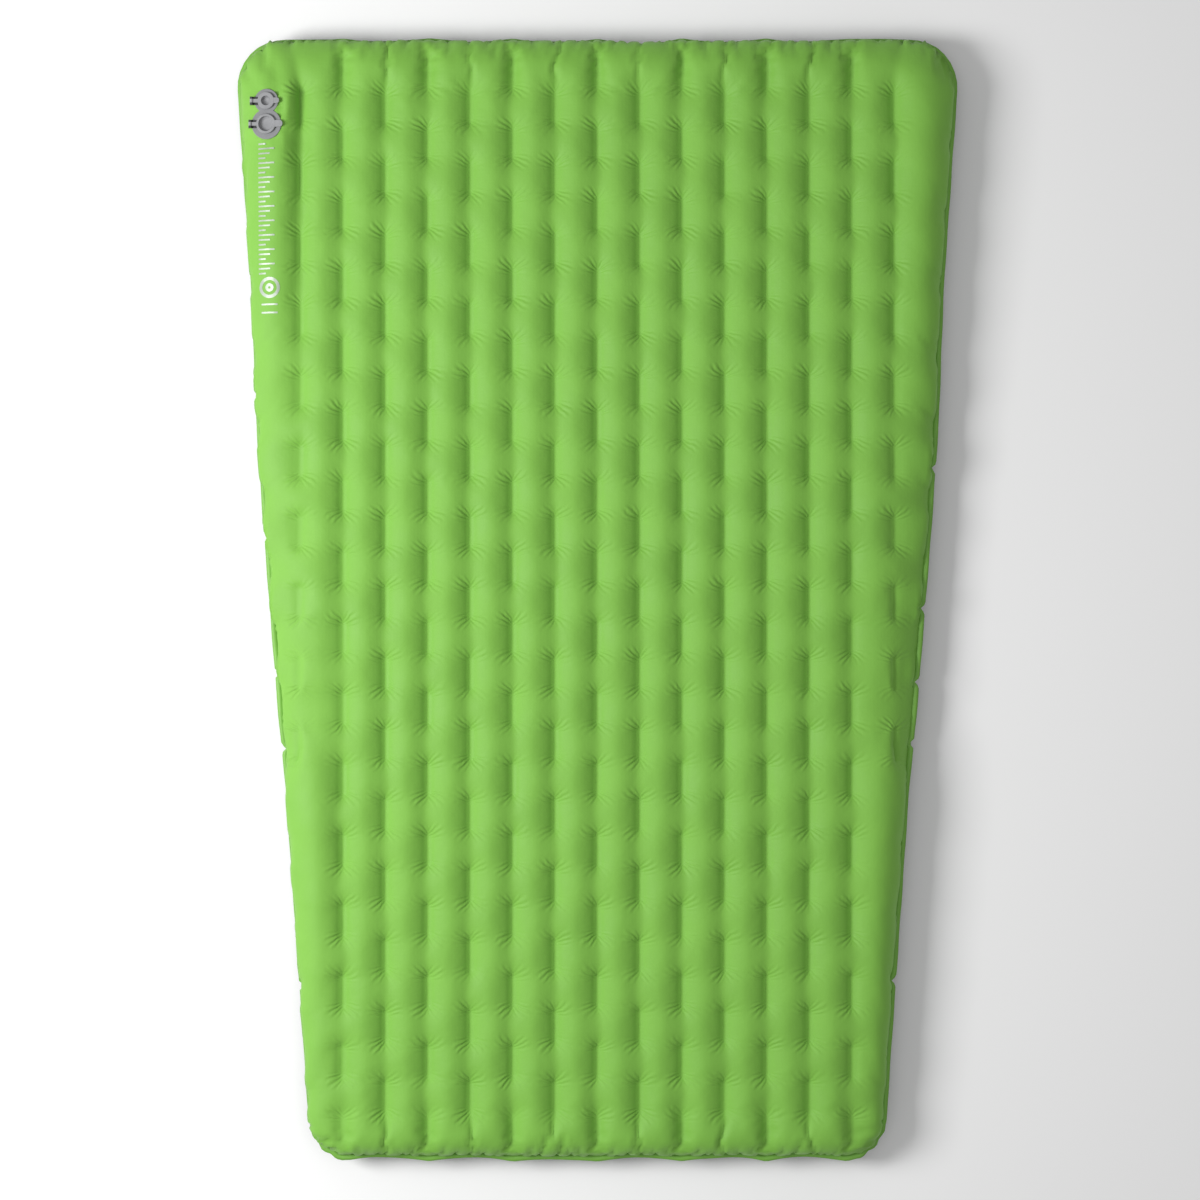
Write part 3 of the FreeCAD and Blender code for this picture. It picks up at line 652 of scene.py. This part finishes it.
def weldPuckers():
    # patches of fine creases that run out from the ends of each weld
    group, place = newGroup("weldPuckers", ["Height"])
    split = addNode(group, "ShaderNodeSeparateXYZ", {0: place})
    x, y = split.outputs["X"], split.outputs["Y"]
    lines = maths(group, "DIVIDE", maths(group, "SUBTRACT", x, lineX[0]), pitch)
    line = maths(group, "ROUND", lines)
    aside = maths(group, "ABSOLUTE", maths(group, "SUBTRACT", lines, line))
    aside = maths(group, "MULTIPLY", aside, pitch)
    odd = maths(group, "FLOORED_MODULO", line, 2.0)
    firstWeld = halfLength - welds["first"]
    turns = maths(group, "DIVIDE", maths(group, "SUBTRACT", y, firstWeld), welds["period"])
    turns = maths(group, "ADD", turns, maths(group, "MULTIPLY", odd, 0.5))
    weld = maths(group, "ROUND", turns)
    past = maths(group, "ABSOLUTE", maths(group, "SUBTRACT", turns, weld))
    past = maths(group, "MULTIPLY", past, welds["period"])
    past = maths(group, "SUBTRACT", past, welds["length"] / 2)
    across = maths(group, "SUBTRACT", aside, puckers["aside"])
    along = maths(group, "SUBTRACT", past, puckers["past"])
    acrossSquare = maths(group, "MULTIPLY", across, across)
    alongSquare = maths(group, "MULTIPLY", along, along)
    reach = maths(group, "SQRT", maths(group, "ADD", acrossSquare, alongSquare))
    angle = maths(group, "ARCTAN2", maths(group, "ADD", past, puckers["back"]),
                  maths(group, "ADD", aside, puckers["back"]))
    wander = maths(group, "MULTIPLY", noise(group, place, puckers["wanderScale"]), puckers["wander"])
    lineTurn = maths(group, "MULTIPLY", line, puckers["lineTurn"])
    own = maths(group, "ADD", lineTurn, maths(group, "MULTIPLY", weld, puckers["weldTurn"]))
    wave = maths(group, "ADD", maths(group, "MULTIPLY", angle, puckers["rays"]), wander)
    wave = maths(group, "SINE", maths(group, "ADD", wave, own))
    patch = between(group, reach, puckers["full"], puckers["end"], 1.0, 0.0)
    strength = between(group, noise(group, place, puckers["patchScale"]), 0.36, 0.58, 0.35, 1.0)
    outermost = maths(group, "GREATER_THAN", maths(group, "ABSOLUTE", x), lineX[-1] - pitch / 2)
    below = maths(group, "LESS_THAN", y, welds["shortEnd"] - 0.01)
    loose = maths(group, "SUBTRACT", 1.0, maths(group, "MULTIPLY", outermost, below))
    farthest = halfLength - puckers["endMargin"]
    inside = maths(group, "LESS_THAN", maths(group, "ABSOLUTE", y), farthest)
    onLine = maths(group, "LESS_THAN", maths(group, "ABSOLUTE", x), lineX[-1] + pitch / 2)
    leftSide = maths(group, "LESS_THAN", lines, line)
    calmer = between(group, leftSide, 0.0, 1.0, puckers["rightSide"], 1.0)
    height = wave
    for factor in (patch, strength, loose, inside, onLine, calmer, puckers["height"]):
        height = maths(group, "MULTIPLY", height, factor)
    return closeGroup(group, {"Height": height})


weave = {
    "thread": 0.0011,
    "ripstop": 0.0062,
    "threadHeight": 0.000012,
    "ripstopHeight": 0.00002,
    "unevenScale": 120.0,
    "uneven": 0.00022,
    "crumpleScale": 26.0,
    "crumple": 0.0011,
    "mottleScale": 9.0,
}


def coatedWeave():
    # plain weave with a ripstop grid under a thin coat, and the coat's slight unevenness
    group, place = newGroup("coatedWeave", ["Height", "Mottle"])
    split = addNode(group, "ShaderNodeSeparateXYZ", {0: place})
    heights = []
    for period, height in (
        (weave["thread"], weave["threadHeight"]), (weave["ripstop"], weave["ripstopHeight"])
    ):
        waves = [
            maths(group, "COSINE", maths(group, "MULTIPLY", split.outputs[axis], 2 * math.pi / period))
            for axis in ("X", "Y")
        ]
        both = maths(group, "MAXIMUM", waves[0], waves[1])
        heights.append(maths(group, "MULTIPLY", both, height))
    uneven = maths(group, "MULTIPLY", noise(group, place, weave["unevenScale"], 3.0), weave["uneven"])
    crumple = maths(group, "MULTIPLY", noise(group, place, weave["crumpleScale"]), weave["crumple"])
    total = maths(group, "ADD", heights[0], heights[1])
    total = maths(group, "ADD", total, maths(group, "ADD", uneven, crumple))
    mottle = noise(group, place, weave["mottleScale"], 4.0)
    return closeGroup(group, {"Height": total, "Mottle": mottle})


def newMaterial(name):
    material = bpy.data.materials.new(name)
    material.use_nodes = True
    tree = material.node_tree
    return material, tree, tree.nodes["Principled BSDF"]


def useGroup(tree, group, place):
    node = tree.nodes.new("ShaderNodeGroup")
    node.node_tree = group
    tree.links.new(place, node.inputs["Place"])
    return node


def addBump(tree, shader, height, strength=1.0):
    bump = addNode(tree, "ShaderNodeBump", {"Height": height, "Distance": 1.0, "Strength": strength})
    tree.links.new(bump.outputs["Normal"], shader.inputs["Normal"])


def blendColour(tree, shader, share, dark, light):
    mix = addNode(tree, "ShaderNodeMix", data_type="RGBA")
    tree.links.new(share, mix.inputs["Factor"])
    mix.inputs["A"].default_value = (*dark, 1)
    mix.inputs["B"].default_value = (*light, 1)
    tree.links.new(mix.outputs["Result"], shader.inputs["Base Color"])


puckerGroup = weldPuckers()
weaveGroup = coatedWeave()

cloths = {
    "greenNylon": {"dark": (0.176, 0.422, 0.053), "light": (0.210, 0.478, 0.066), "rough": 0.62},
    "darkNylon": {"dark": (0.030, 0.034, 0.037), "light": (0.042, 0.046, 0.050), "rough": 0.7},
}


def clothMaterial(name):
    settings = cloths[name]
    material, tree, shader = newMaterial(name)
    place = addNode(tree, "ShaderNodeTexCoord").outputs["Object"]
    cloth = useGroup(tree, weaveGroup, place)
    creases = useGroup(tree, puckerGroup, place).outputs["Height"]
    addBump(tree, shader, maths(tree, "ADD", cloth.outputs["Height"], creases))
    blendColour(tree, shader, cloth.outputs["Mottle"], settings["dark"], settings["light"])
    smoothest, roughest = settings["rough"] - 0.06, settings["rough"] + 0.05
    rough = between(tree, cloth.outputs["Mottle"], 0.3, 0.7, smoothest, roughest)
    tree.links.new(rough, shader.inputs["Roughness"])
    shader.inputs["Specular IOR Level"].default_value = 0.32
    shader.inputs["Sheen Weight"].default_value = 0.08
    return material


def makeSheets():
    # the green top and the dark bottom, one aired shape with the valve's seat in the top only
    mesh, flat, shape = airedTop()
    faces = [tuple(face.vertices) for face in mesh.polygons]
    top = relaxGaps(mesh, flat, shape)
    under = withoutSeat(flat, top)
    top[:, 2] += midHeight
    faceMiddles = np.array([flat[list(face)].mean(axis=0) for face in faces])
    big, small = lobeDistance(faceMiddles)
    inHole = (big < valveSeat["bigHole"]) | (small < valveSeat["smallHole"])
    topFaces = [face for face, gone in zip(faces, inHole) if not gone]
    piece = newPiece("topSheet", top, topFaces, clothMaterial("greenNylon"))
    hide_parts("top_shell")
    under[:, 2] = np.maximum(midHeight - under[:, 2], 0.0004)
    lower = newPiece("bottomSheet", under, [face[::-1] for face in faces], clothMaterial("darkNylon"))
    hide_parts("bottom_shell")
    print("top height", round(float(top[:, 2].max()), 4))
    return top, topFaces, loopOf(mesh)


def loopOf(mesh):
    # the sheet's edge points in order
    sheet = bmesh.new()
    sheet.from_mesh(mesh)
    nextTo = {}
    for edge in sheet.edges:
        if edge.is_boundary:
            for vert in edge.verts:
                nextTo.setdefault(vert.index, []).append(edge.other_vert(vert).index)
    sheet.free()
    start = min(nextTo)
    loop, previous, here = [start], None, start
    while True:
        ahead = [number for number in nextTo[here] if number != previous][0]
        if ahead == start:
            return loop
        loop.append(ahead)
        previous, here = here, ahead


seamBand = {
    "width": 0.0098,
    "overlap": 0.0012,
    "half": 0.0007,  # half the two sheets' thickness
    "wave": 0.0008,
    "unevenWidth": 0.0004,
    "eased": 6,  # rounds of smoothing on its outward direction
    "pressPitch": 0.0024,
    "pressHeight": 0.00005,
    "colourDark": (0.165, 0.400, 0.050),
    "colourLight": (0.195, 0.450, 0.060),
}


def seamMaterial():
    # both sheets pressed together by a heated tool with a fine crossed pattern
    material, tree, shader = newMaterial("pressedSeam")
    place = addNode(tree, "ShaderNodeTexCoord").outputs["Object"]
    split = addNode(tree, "ShaderNodeSeparateXYZ", {0: place})
    x, y = split.outputs["X"], split.outputs["Y"]
    ridges = []
    for lean in (1.0, -1.0):
        slant = maths(tree, "ADD", x, maths(tree, "MULTIPLY", y, lean))
        angle = maths(tree, "MULTIPLY", slant, 2 * math.pi / seamBand["pressPitch"])
        ridges.append(maths(tree, "SINE", angle))
    press = maths(tree, "MAXIMUM", ridges[0], ridges[1])
    press = maths(tree, "MULTIPLY", press, seamBand["pressHeight"])
    cloth = useGroup(tree, weaveGroup, place)
    addBump(tree, shader, maths(tree, "ADD", press, cloth.outputs["Height"]))
    blendColour(tree, shader, cloth.outputs["Mottle"], seamBand["colourDark"], seamBand["colourLight"])
    shader.inputs["Roughness"].default_value = 0.5
    return material


def makeSeamBand(points, loop):
    # the welded border outside the air, slightly wavy
    ring = points[loop]
    count = len(ring)
    tangent = np.roll(ring, -1, axis=0) - np.roll(ring, 1, axis=0)
    outward = np.stack([tangent[:, 1], -tangent[:, 0]], axis=1)
    if np.sum(outward * ring[:, :2]) < 0:
        outward = -outward
    for _ in range(seamBand["eased"]):
        outward = np.roll(outward, 1, axis=0) + outward * 2 + np.roll(outward, -1, axis=0)
        outward /= np.linalg.norm(outward, axis=1)[:, None]
    along = np.cumsum(np.linalg.norm(tangent, axis=1)) / 2
    lift = seamBand["wave"] * (np.sin(along * 71) * 0.6 + np.sin(along * 31 + 1) * 0.7)
    inner = ring[:, :2] - outward * seamBand["overlap"]
    reach = seamBand["width"] + seamBand["unevenWidth"] * np.sin(along * 53)
    middle = ring[:, :2] + outward * (reach * 0.5)[:, None]
    outer = ring[:, :2] + outward * reach[:, None]
    half = seamBand["half"]
    rows = []
    for place, level in (
        (inner, half), (middle, half + lift * 0.4), (outer, half * 0.8 + lift),
        (outer, -half * 0.8 + lift), (middle, -half + lift * 0.4), (inner, -half),
    ):
        rows.append(np.column_stack([place, midHeight + level + np.zeros(count)]))
    verts = np.concatenate(rows)
    faces = []
    for row in range(len(rows)):
        nextRow = (row + 1) % len(rows)
        for station in range(count):
            ahead = (station + 1) % count
            faces.append((
                row * count + station, row * count + ahead,
                nextRow * count + ahead, nextRow * count + station,
            ))
    band = newPiece("seamBand", verts, faces, seamMaterial())
    tidy = bmesh.new()
    tidy.from_mesh(band.data)
    bmesh.ops.recalc_face_normals(tidy, faces=tidy.faces[:])
    tidy.to_mesh(band.data)
    tidy.free()
    print("seam band stations", count)


printing = {
    "lift": 0.0004,
    "centre": -0.602,
    "width": 0.030,
    "start": 0.831,
    "bars": 28,
    "barPitch": 0.0087,
    "barWidth": 0.0030,
    "lengths": (0.45, 1.0, 0.72),  # of the width, in turn
    "badge": (-0.597, 0.569),
    "badgeRadius": 0.0192,
    "rings": ((0.70, 1.0), (0.12, 0.40)),  # of the radius
    "lines": (0.029, 0.044),  # below the badge's middle
    "lineLength": 0.030,
    "lineWidth": 0.0032,
    "colour": (0.40, 0.47, 0.38),
}


def printMaterial():
    material, tree, shader = newMaterial("silverPrint")
    place = addNode(tree, "ShaderNodeTexCoord").outputs["Object"]
    cloth = useGroup(tree, weaveGroup, place)
    speck = noise(tree, place, 900.0, 3.0)
    addBump(tree, shader, cloth.outputs["Height"])
    worn = tuple(value * 0.82 for value in printing["colour"])
    blendColour(tree, shader, speck, worn, printing["colour"])
    shader.inputs["Roughness"].default_value = 0.42
    shader.inputs["Metallic"].default_value = 0.25
    return material


def makePrint(points, faces):
    # plain bars, a ring with a dot and two short lines, printed along the valve's rail
    skin = BVHTree.FromPolygons([tuple(p) for p in points], faces)
    verts, quads = [], []

    def addPatch(place, columns, rows):
        first = len(verts)
        for u in np.linspace(0, 1, columns + 1):
            for v in np.linspace(0, 1, rows + 1):
                x, y = place(u, v)
                hit, normal = skin.ray_cast((x, y, 1.0), (0, 0, -1))[:2]
                verts.append(hit + normal * printing["lift"])
        for column in range(columns):
            for row in range(rows):
                here = first + column * (rows + 1) + row
                quads.append((here, here + rows + 1, here + rows + 2, here + 1))

    for number in range(printing["bars"]):
        top = printing["start"] - number * printing["barPitch"]
        long = printing["width"] * printing["lengths"][number % 3]

        def bar(u, v, top=top, long=long):
            x = printing["centre"] - printing["width"] / 2 + long * u
            return x, top - printing["barWidth"] * v

        addPatch(bar, 9, 1)
    for offset in printing["lines"]:

        def line(u, v, offset=offset):
            x = printing["badge"][0] + printing["lineLength"] * (u - 0.5)
            return x, printing["badge"][1] - offset - printing["lineWidth"] * v

        addPatch(line, 9, 1)
    for inner, outer in printing["rings"]:

        def ring(u, v, inner=inner, outer=outer):
            radius = printing["badgeRadius"] * (inner + (outer - inner) * v)
            turn = -2 * math.pi * u
            return (
                printing["badge"][0] + radius * math.cos(turn),
                printing["badge"][1] + radius * math.sin(turn),
            )

        addPatch(ring, 40, 2)
    marks = newPiece("printedMarks", verts, quads, printMaterial())
    print("print quads", len(quads))


mouldings = {
    "valveGrey": {"colour": (0.235, 0.238, 0.248), "rough": 0.46, "grain": 0.00003},
    "portGrey": {"colour": (0.090, 0.092, 0.097), "rough": 0.38, "grain": 0.00002},
    "capGrey": {"colour": (0.295, 0.298, 0.308), "rough": 0.36, "grain": 0.00003},
    # painted shade: the hinge brackets are near-black in place of the shadowed gaps beside each lid's
    # hinge knuckle
    "bracketGapShade": {"colour": (0.022, 0.023, 0.025), "rough": 0.5, "grain": 0.00004},
    "sealSilicone": {"colour": (0.50, 0.51, 0.50), "rough": 0.55, "grain": 0.00001},
    "webFilm": {"colour": (0.62, 0.63, 0.62), "rough": 0.35, "grain": 0.00001},
}


def mouldedMaterial(name):
    # fine spark grain from the mould, with slight handling marks
    settings = mouldings[name]
    material, tree, shader = newMaterial(name)
    place = addNode(tree, "ShaderNodeTexCoord").outputs["Object"]
    grain = noise(tree, place, 2200.0, 4.0)
    smudge = noise(tree, place, 70.0, 3.0)
    addBump(tree, shader, maths(tree, "MULTIPLY", grain, settings["grain"]))
    darker = tuple(value * 0.86 for value in settings["colour"])
    blendColour(tree, shader, smudge, darker, settings["colour"])
    rough = between(tree, smudge, 0.3, 0.7, settings["rough"] - 0.08, settings["rough"] + 0.08)
    tree.links.new(rough, shader.inputs["Roughness"])
    if name == "sealSilicone":
        shader.inputs["Subsurface Weight"].default_value = 0.3
        shader.inputs["Subsurface Radius"].default_value = (0.002, 0.002, 0.002)
    return material


def pinSteel():
    # drawn wire with fine lengthwise scratches
    material, tree, shader = newMaterial("pinSteel")
    place = addNode(tree, "ShaderNodeTexCoord").outputs["Object"]
    stretched = addNode(tree, "ShaderNodeMapping", {"Vector": place, "Scale": (1.0, 0.05, 1.0)})
    scratch = noise(tree, stretched.outputs["Vector"], 5000.0, 3.0)
    addBump(tree, shader, maths(tree, "MULTIPLY", scratch, 0.00001))
    blendColour(tree, shader, scratch, (0.42, 0.42, 0.42), (0.60, 0.60, 0.60))
    shader.inputs["Metallic"].default_value = 1.0
    shader.inputs["Roughness"].default_value = 0.3
    return material


def battMaterial():
    material, tree, shader = newMaterial("whiteBatt")
    place = addNode(tree, "ShaderNodeTexCoord").outputs["Object"]
    fibre = noise(tree, place, 420.0, 8.0)
    addBump(tree, shader, maths(tree, "MULTIPLY", fibre, 0.0008))
    blendColour(tree, shader, fibre, (0.60, 0.61, 0.62), (0.82, 0.82, 0.81))
    shader.inputs["Roughness"].default_value = 0.95
    return material


def foilMaterial():
    material, tree, shader = newMaterial("silverFoil")
    place = addNode(tree, "ShaderNodeTexCoord").outputs["Object"]
    crinkle = noise(tree, place, 60.0, 5.0)
    addBump(tree, shader, maths(tree, "MULTIPLY", crinkle, 0.0015))
    blendColour(tree, shader, crinkle, (0.62, 0.63, 0.65), (0.80, 0.81, 0.83))
    shader.inputs["Metallic"].default_value = 1.0
    shader.inputs["Roughness"].default_value = 0.22
    return material


def finishParts():
    finishes = {name: mouldedMaterial(name) for name in mouldings}
    parts = {
        "valve_base": finishes["valveGrey"],
        "inflation_port": finishes["portGrey"],
        "deflation_port": finishes["portGrey"],
        "inflation_cap": finishes["capGrey"],
        "deflation_cap": finishes["capGrey"],
        "check_flap": finishes["sealSilicone"],
        "inflation_cap_seal": finishes["sealSilicone"],
        "deflation_cap_seal": finishes["sealSilicone"],
        # the hinge brackets carry the near-black painted shade of the gaps beside the knuckles
        "inflation_hinge_bracket": finishes["bracketGapShade"],
        "deflation_hinge_bracket": finishes["bracketGapShade"],
        "insulation_strips": battMaterial(),
        "reflective_film": foilMaterial(),
    }
    steel = pinSteel()
    for use in ("inflation", "deflation"):
        parts[f"{use}_hinge_pin"] = steel
    for number in range(1, len(lineX) + 1):
        parts[f"baffle_{number:02d}"] = finishes["webFilm"]
    for name, material in parts.items():
        mesh = bpy.data.objects[name].data
        mesh.materials.clear()
        mesh.materials.append(material)
    print("finished parts", len(parts))


topPoints, topFaces, seamLoop = makeSheets()
makeSeamBand(topPoints, seamLoop)
makePrint(topPoints, topFaces)
finishParts()

view = {
    "lens": 85,
    "height": 5.25,
    "middle": (0.0046, 0.0),
    "floorReach": 12,
}


def makeView():
    camera = bpy.data.cameras.new("overhead")
    camera.lens = view["lens"]
    camera.sensor_width = 36
    stand = bpy.data.objects.new("overhead", camera)
    stand.location = (*view["middle"], view["height"])
    scene.collection.objects.link(stand)
    scene.camera = stand
    scene.view_settings.view_transform = "Standard"


def areaLight(name, place, size, power):
    lamp = bpy.data.lights.new(name, "AREA")
    lamp.shape = "RECTANGLE"
    lamp.size, lamp.size_y = size
    lamp.energy = power
    holder = bpy.data.objects.new(name, lamp)
    holder.location = place
    holder.rotation_euler = (-Vector(place)).to_track_quat("-Z", "Y").to_euler()
    scene.collection.objects.link(holder)


def makeLights():
    areaLight("windowLeft", (-2.8, 0.0, 2.5), (1.4, 1.6), 130)
    areaLight("overheadSoft", (0.4, 0.2, 6.5), (5.0, 5.0), 62)
    world = bpy.data.worlds.new("studio")
    world.use_nodes = True
    world.node_tree.nodes["Background"].inputs["Color"].default_value = (1, 1, 1, 1)
    world.node_tree.nodes["Background"].inputs["Strength"].default_value = 0.33
    scene.world = world


def makeFloor():
    floor = bpy.data.meshes.new("floor")
    reach = view["floorReach"]
    corners = [(-reach, -reach, 0), (reach, -reach, 0), (reach, reach, 0), (-reach, reach, 0)]
    floor.from_pydata(corners, [], [(0, 1, 2, 3)])
    ground = bpy.data.objects.new("floor", floor)
    scene.collection.objects.link(ground)
    material, _, shader = newMaterial("paleFloor")
    shader.inputs["Base Color"].default_value = (0.92, 0.92, 0.92, 1)
    shader.inputs["Roughness"].default_value = 0.85
    floor.materials.append(material)


makeView()
makeLights()
makeFloor()
